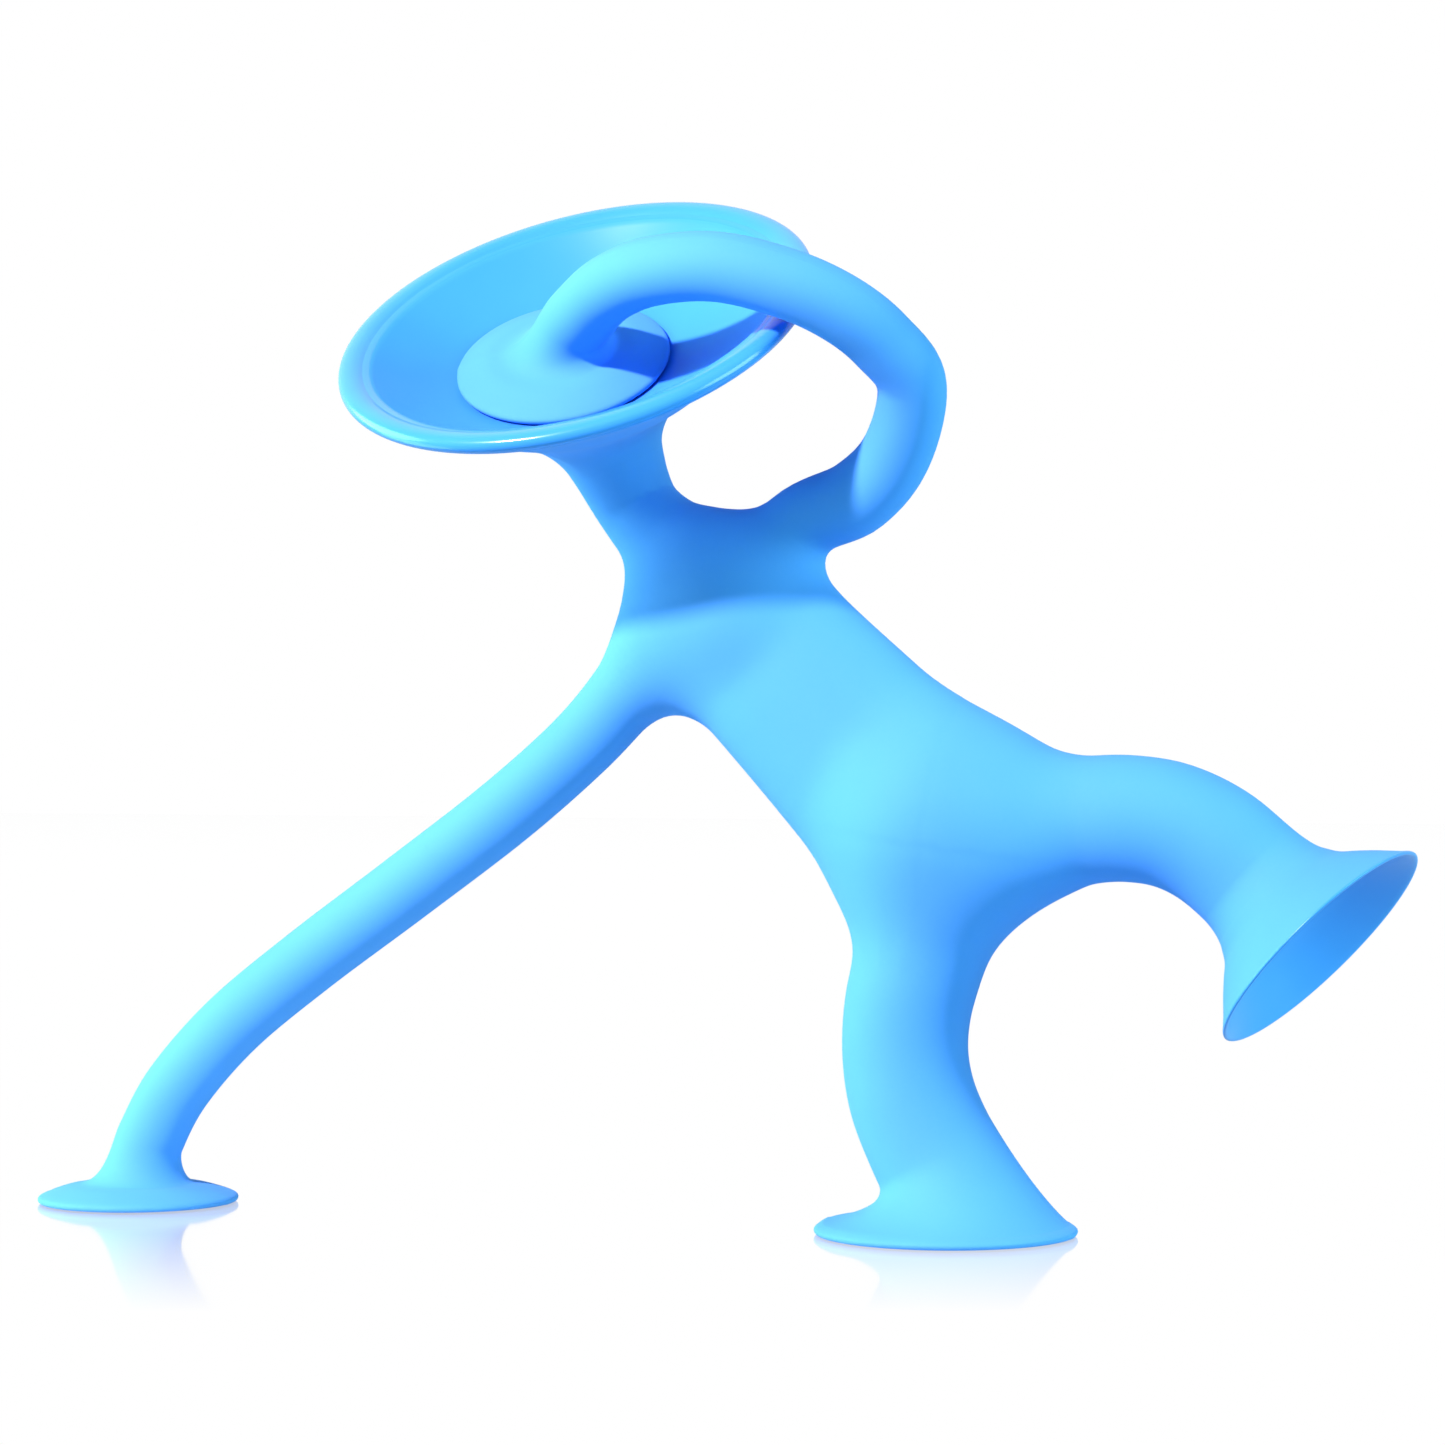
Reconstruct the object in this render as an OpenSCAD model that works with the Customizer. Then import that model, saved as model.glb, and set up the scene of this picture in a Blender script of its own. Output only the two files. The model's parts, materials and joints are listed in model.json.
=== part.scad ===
// A flexible suction-cup figure: one silicone moulding that stands on one hand and one foot,
// with its other hand stuck inside its open head cup and its other leg kicked out.
// X runs along the floor from the planted hand to the standing foot, Z is up, the figure faces
// -Y, and the origin is the middle of the standing foot's rim, on the floor.
// Each node is one region of the moulding. Neighbours meet face to face at a cut across the
// limb, and the regions named after a joint are the ones that bend.

/* [Overall] */
// From the middle of the planted hand to the middle of the standing foot
stride = 162; // [130:1:200]
// Height of the middle of the head cup's mouth above the floor
head_h = 167.6; // [139.6:0.2:201.2]
// Gap left at the cut where a bending region starts
seam = 0.1; // [0.05:0.05:0.3]

/* [Head cup] */
// Outer diameter of the rolled lip
head_d = 89.8; // [73:0.2:107]
// Width of the rolled lip
lip_w = 4.8; // [3.6:0.1:6]
// Thickness of the rolled lip
lip_t = 3.2; // [2.6:0.1:4]
// Depth of the bowl at its middle
bowl_depth = 16; // [13:0.5:19.5]
// Length of the head cup along its axis, from the lip to the neck
head_cup_l = 27; // [24:0.5:33]
// How far the head cup nods forward
head_nod = 34.5; // [30:0.5:42]
// How far the head cup leans sideways
head_lean = -4; // [-8:1:0]

/* [Neck and torso] */
// Diameter of the neck
neck_d = 15.6; // [13:0.2:19]
// Width of the torso
torso_w = 36; // [30:0.5:43.5]
// Thickness of the torso, front to back
torso_t = 24; // [20:0.5:29]

/* [Limbs] */
// Diameter of an arm
arm_d = 13.2; // [11:0.1:16]
// Diameter of a leg
leg_d = 23; // [19:0.1:28]

/* [Hand cups] */
// Diameter of the planted hand cup's rim
hand_d = 38.6; // [32:0.2:46.4]
// Diameter of the raised hand cup's rim, which spreads on the bowl that it grips
grip_hand_d = 40; // [33:0.2:48]
// Thickness of a hand cup's rim
hand_rim_t = 1.3; // [1:0.1:1.8]
// Height of a hand cup, from its rim to the wrist
hand_h = 4.6; // [3.8:0.1:5.6]
// Depth of the hollow under a hand cup
hand_hollow = 2.2; // [1.6:0.1:2.8]
// Gap left between the raised hand cup and the bowl that it grips
grip_gap = 0.6; // [0.4:0.1:1]

/* [Foot cups] */
// Diameter of the free foot cup's rim
foot_d = 46.8; // [39:0.1:56.2]
// Diameter of the rim of the foot cup that is pressed flat on the floor, which spreads it
pressed_foot_d = 48; // [40:0.5:58]
// Thickness of a foot cup's rim
foot_rim_t = 1.2; // [0.9:0.1:1.8]
// Height of the free foot cup, from its rim to the ankle
foot_h = 15; // [12:0.5:18]
// Depth of the hollow in the free foot cup
foot_hollow = 11; // [8:0.5:13]
// Depth left in the hollow of the foot cup that is pressed flat on the floor
pressed_hollow = 2.4; // [1.8:0.1:3]

/* [Hidden] */

silicone = [0.25, 0.67, 0.98];
$fn = 64;
limb_sides = 16;    // sides of an arm's or a leg's section
torso_sides = 24;   // sides of the torso's section
ring_gap = 5;       // distance between two sections along a limb
slope_step = 0.001; // step that a tangent is measured over

// The stride, the head cup and the arm that the route points below are drawn for.
drawn_stride = 162;
drawn_neck_top = [-64.81, -1.27, 146.22];
drawn_head_r = 44.9;
drawn_arm_r = 6.6;

head_r = head_d / 2;
hand_r = hand_d / 2;
grip_hand_r = grip_hand_d / 2;
foot_r = foot_d / 2;
pressed_foot_r = pressed_foot_d / 2;

// ---- The head cup's own frame: X sideways, Y to the back of the figure, Z out of the mouth ----
bowl_mouth_r = head_r - lip_w;
bowl_ball_r = (bowl_mouth_r^2 + bowl_depth^2) / (2 * bowl_depth);
head_axis = head_turned([0, 0, 1]);
neck_top_h = head_h - (head_cup_l - 1) * head_axis.z;
head_centre = stretched(drawn_neck_top) + (head_cup_l - 1) * head_axis;

// A route point, moved with the stride and with the height of the neck's top.
function stretched(p) = [p.x * stride / drawn_stride, p.y, p.z * neck_top_h / drawn_neck_top.z];

// A direction in the head cup's frame, turned into the figure's frame.
function head_turned(v) =
    let (
        back = v.y * cos(head_nod) - v.z * sin(head_nod),
        up = v.y * sin(head_nod) + v.z * cos(head_nod)
    )
    [v.x * cos(head_lean) + up * sin(head_lean), back, -v.x * sin(head_lean) + up * cos(head_lean)];

function in_head(p) = head_centre + head_turned(p);

// A point of the arm's loop over the lip, which moves out with the lip and up with the arm.
function over_lip(p) =
    in_head([p.x * head_r / drawn_head_r, p.y * head_r / drawn_head_r, p.z + arm_d / 2 - drawn_arm_r]);

// Where the raised hand sits on the bowl's ball: its tilt from the middle, and which way.
grip_tilt = 7;
grip_turn = 150;
grip_reach = sqrt(bowl_ball_r^2 - grip_hand_r^2) - grip_gap;
grip_centre = [
    grip_reach * sin(grip_tilt) * cos(grip_turn),
    grip_reach * sin(grip_tilt) * sin(grip_turn),
    bowl_ball_r - bowl_depth - grip_reach * cos(grip_tilt)
];
grip_axis = [
    -sin(grip_tilt) * cos(grip_turn),
    -sin(grip_tilt) * sin(grip_turn),
    cos(grip_tilt)
];

// ---- How far the kicking foot's mouth tips up from straight down, which way it turns, and where
// the foot starts ----
kick_tilt = 47;
kick_turn = -10;
kick_axis = [-sin(kick_tilt) * cos(kick_turn), -sin(kick_tilt) * sin(kick_turn), cos(kick_tilt)];
kick_ankle = stretched([56, 2.22, 65.13]);
kick_centre = kick_ankle - (foot_h + 2.5) * kick_axis;

// ---- Routes. Each stop is a point, its half width in the figure's plane and its half depth ----
function round_stop(p, r) = [p.x, p.y, p.z, r, r];
function arm_stop(x, y, z, share) = round_stop(stretched([x, y, z]), share * arm_d / 2);
function loop_stop(x, y, z) = round_stop(over_lip([x, y, z]), 0.94 * arm_d / 2);
function leg_stop(x, z, share) = round_stop(stretched([x, 0, z]), share * leg_d / 2);

// A stop of the standing leg, whose height is stretched between the foot cup and the hip.
ankle_z = 9;
hip_z = 72;
function standing_stop(x, z, share) =
    let (
        hip = stretched([x, 0, hip_z]),
        up = (z - ankle_z) / (hip_z - ankle_z)
    )
    round_stop([hip.x, 0, ankle_z + up * (hip.z - ankle_z)], share * leg_d / 2);
function torso_stop(x, z, wide, deep) =
    let (p = stretched([x, 0, z])) [p.x, p.y, p.z, wide * torso_w / 2, deep * torso_t / 2];

torso_route = [
    torso_stop(-46, 120, 0.70, 0.72),
    torso_stop(-40, 112, 0.97, 0.90),
    torso_stop(-31, 102.6, 0.98, 0.97),
    torso_stop(-20, 91.6, 1.03, 1.00),
    torso_stop(-10, 81.6, 1.09, 1.02),
    torso_stop(-2.5, 74, 1.13, 1.00),
    torso_stop(3, 68, 0.90, 0.85)
];

neck_route = [
    round_stop(stretched([-40, 0, 112]), 1.30 * neck_d / 2),
    round_stop(stretched([-47, 0, 121]), 1.22 * neck_d / 2),
    round_stop(stretched([-54.6, 1, 127.6]), 1.06 * neck_d / 2),
    round_stop(stretched([-60.8, 2, 134.5]), 0.98 * neck_d / 2),
    round_stop(in_head([0, 0, 1 - head_cup_l]), 1.10 * neck_d / 2),
    round_stop(in_head([0, 0, 6 - head_cup_l]), 1.35 * neck_d / 2)
];

// The raised arm leaves the chest, bows outwards to the loop, and goes over the lip into the bowl.
raised_root = stretched([-28, 0, 129.2]);
loop_start = over_lip([62.4, -8, -16.9]);
function bow_stop(share, out, thick) =
    round_stop(raised_root + share * (loop_start - raised_root) + out, thick * arm_d / 2);

raised_route = [
    arm_stop(-40, 0, 116, 1.40),
    round_stop(raised_root, 1.32 * arm_d / 2),
    bow_stop(0.33, [3, 2.3, -1.9], 1.12),
    bow_stop(0.66, [3.8, 2.6, -3.3], 0.98),
    loop_stop(62.4, -8, -16.9),
    loop_stop(59.2, -9.3, -6.9),
    loop_stop(53.8, -11, 1.2),
    loop_stop(45.4, -11.7, 7.6),
    loop_stop(33, -10.3, 11.7),
    loop_stop(20, -7.6, 10.9),
    loop_stop(10, -4.2, 6.7),
    round_stop(in_head(grip_centre + [8.1, -3.7, 11.9]), 0.97 * arm_d / 2),
    round_stop(in_head(grip_centre + [2.5, -0.7, 6.1]), 1.04 * arm_d / 2),
    round_stop(in_head(grip_centre + grip_axis * 3), 1.25 * arm_d / 2)
];

planted_route = [
    arm_stop(-42, 0, 116, 1.45),
    arm_stop(-53, 0, 108.5, 1.32),
    arm_stop(-61.5, 0, 98.5, 1.08),
    arm_stop(-71, 0, 88.5, 1.01),
    arm_stop(-86, 0, 76, 1.0),
    arm_stop(-106, 0, 61.5, 0.99),
    arm_stop(-126, 0, 47.3, 0.98),
    arm_stop(-142, 0, 34.8, 0.98),
    arm_stop(-153.5, 0, 22.5, 0.99),
    arm_stop(-159.3, 0, 12.5, 1.0),
    round_stop([-stride + 0.6, 0, hand_h + 2.2], 1.07 * arm_d / 2),
    round_stop([-stride, 0, hand_h - 1.6], 1.25 * arm_d / 2)
];

standing_route = [
    standing_stop(-1, hip_z, 1.34),
    standing_stop(-2.6, 61, 1.15),
    standing_stop(-4.6, 51, 1.04),
    standing_stop(-7, 41.5, 1.01),
    standing_stop(-7.6, 33, 1.0),
    standing_stop(-6.3, 24.8, 1.01),
    standing_stop(-3, 16.8, 1.02),
    standing_stop(1.4, ankle_z, 1.06)
];

kicking_route = [
    leg_stop(0, 76, 1.36),
    leg_stop(10, 74.8, 1.24),
    leg_stop(18, 74.6, 1.11),
    leg_stop(25.5, 75.4, 1.01),
    leg_stop(33.5, 75.8, 0.99),
    round_stop(stretched([41.5, 0.7, 74.6]), 0.98 * leg_d / 2),
    round_stop(stretched([49, 1.6, 71]), 0.98 * leg_d / 2),
    round_stop(kick_ankle, 0.99 * leg_d / 2),
    round_stop(kick_ankle - 5.5 * kick_axis, 1.12 * leg_d / 2)
];

// ---- Where each route is cut into nodes, counted in stops from the route's start ----
torso_cuts = [2.3, 3.7];
neck_cuts = [1.9, 3.6];
raised_cuts = [1.6, 3.1, 4.4, 6.6, 8.3, 11.3];
planted_cuts = [1.9, 3.2, 4.6, 5.7, 6.7, 9.0];
standing_cuts = [1.3, 2.5, 3.1, 4.4, 4.9, 6.3];
kicking_cuts = [1.6, 3.0, 3.7, 5.2, 5.8, 6.8];

// ---- Smooth curves through the stops ----
function before(s, i) = i > 0 ? s[i - 1] : 2 * s[0] - s[1];
function after(s, i) = i < len(s) - 1 ? s[i + 1] : 2 * s[i] - s[i - 1];

// The stop at distance t along route s, by a Catmull-Rom curve.
function along(s, t) =
    let (
        i = min(floor(t), len(s) - 2),
        u = t - i,
        a = before(s, i),
        b = s[i],
        c = s[i + 1],
        d = after(s, i + 1)
    )
    (2 * b + (c - a) * u + (2 * a - 5 * b + 4 * c - d) * u^2 + (3 * b - a - 3 * c + d) * u^3) / 2;

function spot(s, t) = let (p = along(s, t)) [p.x, p.y, p.z];
function unit(v) = v / norm(v);
function heading(s, t) =
    let (
        t0 = max(t - slope_step, 0),
        t1 = min(t + slope_step, len(s) - 1)
    )
    unit(spot(s, t1) - spot(s, t0));

// The distance t + gap along route s, with the gap in millimetres.
function past(s, t, gap) = t + gap * slope_step / norm(spot(s, t + slope_step) - spot(s, t));

// The section across route s at t: an ellipse whose depth runs as near to Y as it can.
function ring(s, t, sides, grow = 0) =
    let (
        p = along(s, t),
        way = heading(s, t),
        depth_way = unit([0, 1, 0] - way.y * way),
        width_way = cross(way, depth_way)
    )
    [for (k = [0:sides - 1]) let (turn = 360 * k / sides)
        spot(s, t) + width_way * (p[3] + grow) * cos(turn) + depth_way * (p[4] + grow) * sin(turn)];

// A closed solid through a list of rings that have equally many points.
module skin(rings) {
    n = len(rings[0]);
    last = len(rings) - 1;
    sides = [for (j = [0:last - 1], k = [0:n - 1])
        [j * n + k, j * n + (k + 1) % n, (j + 1) * n + (k + 1) % n, (j + 1) * n + k]];
    bottom = [for (k = [n - 1:-1:0]) k];
    top = [for (k = [0:n - 1]) last * n + k];
    polyhedron(
        points = [for (r = rings) each r],
        faces = concat(sides, [bottom, top]),
        convexity = 6
    );
}

function rings_along(s, t0, t1, sides, grow = 0) =
    let (
        span = norm(spot(s, t1) - spot(s, (t0 + t1) / 2)) + norm(spot(s, (t0 + t1) / 2) - spot(s, t0)),
        steps = max(2, ceil(span / ring_gap))
    )
    [for (j = [0:steps]) ring(s, t0 + (t1 - t0) * j / steps, sides, grow)];

module stretch_of(s, t0, t1, sides = limb_sides) {
    color(silicone) skin(rings_along(s, t0, t1, sides));
}

// ---- Head ----
module head_cup() {
    // The outside runs from the lip down a shallow cone and flares into the neck.
    stem_r = 1.10 * neck_d / 2;
    lip_r = lip_t / 2;
    under = [
        [head_r - lip_r, -lip_t],
        [head_r - 0.23 * (head_r - stem_r), -0.25 * head_cup_l],
        [head_r - 0.54 * (head_r - stem_r), -0.55 * head_cup_l],
        [head_r - 0.70 * (head_r - stem_r), -0.70 * head_cup_l],
        [head_r - 0.88 * (head_r - stem_r), -0.87 * head_cup_l],
        [stem_r, 1 - head_cup_l]
    ];
    lip = [for (a = [-60:30:90]) [head_r - lip_r + lip_r * cos(a), -lip_r + lip_r * sin(a)]];
    ball_z = bowl_ball_r - bowl_depth;
    mouth_turn = asin(bowl_mouth_r / bowl_ball_r);
    bowl = [for (k = [12:-1:0]) let (a = mouth_turn * k / 12)
        [bowl_ball_r * sin(a), ball_z - bowl_ball_r * cos(a)]];
    floor_z = 1 - head_cup_l;
    color(silicone) union() {
        translate(head_centre)
            rotate([head_nod, head_lean, 0])
                rotate_extrude()
                    polygon(concat([[0, floor_z]], [for (k = [5:-1:0]) under[k]], lip, bowl));
        stretch_of(neck_route, neck_cuts[1], len(neck_route) - 1);
    }
}

module neck() {
    root_joint(neck_route, neck_cuts);
}

// ---- Torso: the chest and the pelvis carry the short roots of the neck and the limbs ----
// The torso and the roots together, grown by the seam.
module trunk_core() {
    skin(rings_along(torso_route, 0, len(torso_route) - 1, torso_sides, seam));
    skin(rings_along(neck_route, 0, neck_cuts[0], limb_sides, seam));
    skin(rings_along(raised_route, 0, raised_cuts[0], limb_sides, seam));
    skin(rings_along(planted_route, 0, planted_cuts[0], limb_sides, seam));
    skin(rings_along(standing_route, 0, standing_cuts[0], limb_sides, seam));
    skin(rings_along(kicking_route, 0, kicking_cuts[0], limb_sides, seam));
}

module chest() {
    color(silicone) union() {
        stretch_of(torso_route, 0, torso_cuts[0], torso_sides);
        stretch_of(neck_route, 0, neck_cuts[0]);
        stretch_of(raised_route, 0, raised_cuts[0]);
        stretch_of(planted_route, 0, planted_cuts[0]);
    }
}

module waist() {
    stretch_of(torso_route, past(torso_route, torso_cuts[0], seam), torso_cuts[1], torso_sides);
}

module pelvis() {
    color(silicone) union() {
        stretch_of(torso_route, torso_cuts[1], len(torso_route) - 1, torso_sides);
        stretch_of(standing_route, 0, standing_cuts[0]);
        stretch_of(kicking_route, 0, kicking_cuts[0]);
    }
}

// ---- Limbs. Region 0 is the first joint, 1 the first segment, 2 the second joint, and so on ----
// A joint starts a seam past its cut.
module region(route, cuts, k) {
    stretch_of(route, k % 2 == 0 ? past(route, cuts[k], seam) : cuts[k], cuts[k + 1]);
}

// The first joint of a limb or the neck, kept clear of the trunk however wide that is.
module root_joint(route, cuts) {
    color(silicone) difference() {
        region(route, cuts, 0);
        trunk_core();
    }
}

module raised_shoulder() { root_joint(raised_route, raised_cuts); }
module raised_upper_arm() { region(raised_route, raised_cuts, 1); }
module raised_elbow() { region(raised_route, raised_cuts, 2); }
module raised_forearm() { region(raised_route, raised_cuts, 3); }
module raised_wrist() { region(raised_route, raised_cuts, 4); }

module planted_shoulder() { root_joint(planted_route, planted_cuts); }
module planted_upper_arm() { region(planted_route, planted_cuts, 1); }
module planted_elbow() { region(planted_route, planted_cuts, 2); }
module planted_forearm() { region(planted_route, planted_cuts, 3); }
module planted_wrist() { region(planted_route, planted_cuts, 4); }

module standing_hip() { root_joint(standing_route, standing_cuts); }
module standing_thigh() { region(standing_route, standing_cuts, 1); }
module standing_knee() { region(standing_route, standing_cuts, 2); }
module standing_shin() { region(standing_route, standing_cuts, 3); }
module standing_ankle() { region(standing_route, standing_cuts, 4); }

module kicking_hip() { root_joint(kicking_route, kicking_cuts); }
module kicking_thigh() { region(kicking_route, kicking_cuts, 1); }
module kicking_knee() { region(kicking_route, kicking_cuts, 2); }
module kicking_shin() { region(kicking_route, kicking_cuts, 3); }
module kicking_ankle() { region(kicking_route, kicking_cuts, 4); }

// ---- Hand cups, rim on the plane Z = 0 and arm towards +Z ----
module hand_flange(rim_r) {
    boss_r = 1.27 * arm_d / 2;
    bevel = 0.5;
    land_r = rim_r - 2;
    dome_r = (land_r^2 + hand_hollow^2) / (2 * hand_hollow);
    difference() {
        rotate_extrude()
            polygon([
                [0, 0], [rim_r - bevel, 0], [rim_r, hand_rim_t],
                [boss_r + 0.55 * (rim_r - boss_r), 0.60 * hand_h],
                [boss_r, 0.90 * hand_h], [0, 0.90 * hand_h]
            ]);
        rotate_extrude()
            intersection() {
                translate([0, hand_hollow - dome_r]) circle(r = dome_r);
                square([rim_r, hand_h]);
            }
    }
}

module raised_hand_cup() {
    color(silicone) union() {
        translate(head_centre)
            rotate([head_nod, head_lean, 0])
                translate(grip_centre)
                    rotate([0, -grip_tilt, grip_turn])
                        hand_flange(grip_hand_r);
        stretch_of(raised_route, raised_cuts[5], len(raised_route) - 1);
    }
}

module planted_hand_cup() {
    color(silicone) union() {
        translate([-stride, 0, 0]) hand_flange(hand_r);
        stretch_of(planted_route, planted_cuts[5], len(planted_route) - 1);
    }
}

// ---- Foot cups ----
// The standing foot is pressed flat, and its cone leans with the leg. Each level has its height,
// how far its middle is towards +X, its radius as a share of the rim's, and its own tilt.
module standing_foot_cup() {
    levels = [
        [12.5, -1.25, 0.500, 21], [7.7, 1.5, 0.569, 9], [5.25, 2.2, 0.668, 3],
        [3.8, -0.5, 0.877, 1], [2.1, -0.4, 0.970, 0], [foot_rim_t, 0, 1, 0]
    ];
    bevel = 0.5;
    land_r = pressed_foot_r - 2;
    dome_r = (land_r^2 + pressed_hollow^2) / (2 * pressed_hollow);
    leg_end = ring(standing_route, standing_cuts[5], limb_sides);
    cone = [for (l = levels)
        [for (k = [0:limb_sides - 1]) let (turn = 360 * k / limb_sides)
            [l[1], 0, l[0]] + l[2] * pressed_foot_r * [cos(turn) * cos(l[3]), sin(turn), cos(turn) * sin(l[3])]]];
    color(silicone) difference() {
        union() {
            cylinder(r1 = pressed_foot_r - bevel, r2 = pressed_foot_r, h = foot_rim_t);
            skin(concat([leg_end], cone));
        }
        rotate_extrude()
            intersection() {
                translate([0, pressed_hollow - dome_r]) circle(r = dome_r);
                square([pressed_foot_r, foot_rim_t + pressed_hollow]);
            }
    }
}

module kicking_foot_cup() {
    leg_r = 1.04 * leg_d / 2;
    bevel = 0.5;
    inner_r = foot_r - 1.6;
    color(silicone) union() {
        translate(kick_centre)
            rotate([0, -kick_tilt, kick_turn])
                rotate_extrude()
                    polygon([
                        [foot_r - bevel, 0], [foot_r, foot_rim_t],
                        [leg_r + 0.42 * (foot_r - leg_r), 0.47 * foot_h],
                        [leg_r + 0.12 * (foot_r - leg_r), 0.76 * foot_h],
                        [0.94 * leg_r, foot_h], [0, foot_h], [0, foot_hollow],
                        [0.25 * inner_r, 0.94 * foot_hollow],
                        [0.55 * inner_r, 0.68 * foot_hollow], [inner_r, 0]
                    ]);
        stretch_of(kicking_route, kicking_cuts[5], len(kicking_route) - 1);
    }
}

head_cup();
neck();
chest();
waist();
pelvis();
raised_shoulder();
raised_upper_arm();
raised_elbow();
raised_forearm();
raised_wrist();
raised_hand_cup();
planted_shoulder();
planted_upper_arm();
planted_elbow();
planted_forearm();
planted_wrist();
planted_hand_cup();
standing_hip();
standing_thigh();
standing_knee();
standing_shin();
standing_ankle();
standing_foot_cup();
kicking_hip();
kicking_thigh();
kicking_knee();
kicking_shin();
kicking_ankle();
kicking_foot_cup();
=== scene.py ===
"""A flexible suction-cup figure in blue silicone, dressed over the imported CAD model.

The torso and the roots of the limbs are one smooth skin, found as the zero level of a distance
field whose parts melt into each other. Each limb then goes on as a swept tube that flows into its
cup. Every piece stands for one CAD node, and neighbours share the surface where they meet.
Lengths are in millimetres until a mesh is made.
"""
import json
import math

import bpy
import numpy as np
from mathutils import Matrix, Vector


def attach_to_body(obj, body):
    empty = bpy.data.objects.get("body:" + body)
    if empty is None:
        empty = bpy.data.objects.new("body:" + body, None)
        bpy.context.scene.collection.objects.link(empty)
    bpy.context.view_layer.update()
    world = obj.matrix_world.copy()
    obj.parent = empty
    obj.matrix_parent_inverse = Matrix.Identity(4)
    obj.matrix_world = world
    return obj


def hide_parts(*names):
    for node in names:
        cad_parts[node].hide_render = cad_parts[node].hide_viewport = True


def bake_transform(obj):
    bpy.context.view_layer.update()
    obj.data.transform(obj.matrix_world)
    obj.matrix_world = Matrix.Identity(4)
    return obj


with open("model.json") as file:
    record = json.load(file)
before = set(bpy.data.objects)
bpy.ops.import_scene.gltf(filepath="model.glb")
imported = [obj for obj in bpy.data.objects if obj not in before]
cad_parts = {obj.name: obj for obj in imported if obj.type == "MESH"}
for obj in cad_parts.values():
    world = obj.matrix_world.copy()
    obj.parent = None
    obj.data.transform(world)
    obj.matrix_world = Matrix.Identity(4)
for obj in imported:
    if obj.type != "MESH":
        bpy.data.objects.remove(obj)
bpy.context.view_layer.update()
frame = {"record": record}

MM = 0.001
MOUNTS = {m["name"]: m for m in frame["record"]["mounts"]}

# ---- Sizes, as in the CAD part ----
ARM_R = 6.6
LEG_R = 11.5
NECK_R = 7.8
TORSO_HALF_W = 18
TORSO_HALF_T = 12
HEAD_LEAN = math.radians(-4)
HEAD_R = 44.9
BOWL_DEPTH = 16
BOWL_MOUTH_R = 40.1
BOWL_BALL_R = (BOWL_MOUTH_R**2 + BOWL_DEPTH**2) / (2 * BOWL_DEPTH)
HEAD_CUP_L = 27
HAND_R = 19.3
GRIP_HAND_R = 20
GRIP_GAP = 0.6
GRIP_TILT = math.radians(7)
GRIP_TURN = math.radians(150)


def unit(v):
    v = np.asarray(v, float)
    return v / np.linalg.norm(v, axis=-1, keepdims=True)


# ---- The head cup's frame: X sideways, Y to the back of the figure, Z out of the mouth ----
def mount_frame(name):
    """A mount's point in millimetres and its axis."""
    return np.array(MOUNTS[name]["pos_m"]) / MM, unit(MOUNTS[name]["axis"])


HEAD_CENTRE, HEAD_AXIS = mount_frame("head_cup_mouth")
HEAD_X = np.array([math.cos(HEAD_LEAN), 0, -math.sin(HEAD_LEAN)])
HEAD_Y = np.cross(HEAD_AXIS, HEAD_X)


def head_turned(v):
    return v[0] * HEAD_X + v[1] * HEAD_Y + v[2] * HEAD_AXIS


def in_head(*v):
    return HEAD_CENTRE + head_turned(v)


GRIP_REACH = math.sqrt(BOWL_BALL_R**2 - GRIP_HAND_R**2) - GRIP_GAP
GRIP_OUT = (
    -math.sin(GRIP_TILT) * math.cos(GRIP_TURN),
    -math.sin(GRIP_TILT) * math.sin(GRIP_TURN),
    math.cos(GRIP_TILT),
)
GRIP_AXIS = head_turned(GRIP_OUT)
GRIP_CENTRE = in_head(0, 0, BOWL_BALL_R - BOWL_DEPTH) - GRIP_REACH * GRIP_AXIS
KICK_CENTRE, KICK_OUT = mount_frame("kicking_foot_mouth")
KICK_AXIS = -KICK_OUT
PLANTED_X = -162


# ---- Routes: each stop is a point, its half width and its half depth ----
# They are the CAD part's, but for a slimmer raised shoulder and a fuller top of the neck.
def stop(point, half_w, half_t=None):
    return [*point, half_w, half_w if half_t is None else half_t]


def arm_stop(x, y, z, share):
    return stop((x, y, z), share * ARM_R)


def loop_stop(x, y, z):
    return stop(in_head(x, y, z), 0.94 * ARM_R)


RAISED_ROOT = np.array([-28, 0, 129.2])
LOOP_START = in_head(62.4, -8, -16.9)


def bow_stop(share, out, thick):
    return stop(RAISED_ROOT + share * (LOOP_START - RAISED_ROOT) + out, thick * ARM_R)


def leg_stop(x, z, share):
    return stop((x, 0, z), share * LEG_R)


def torso_stop(x, z, wide, deep):
    return stop((x, 0, z), wide * TORSO_HALF_W, deep * TORSO_HALF_T)


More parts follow.
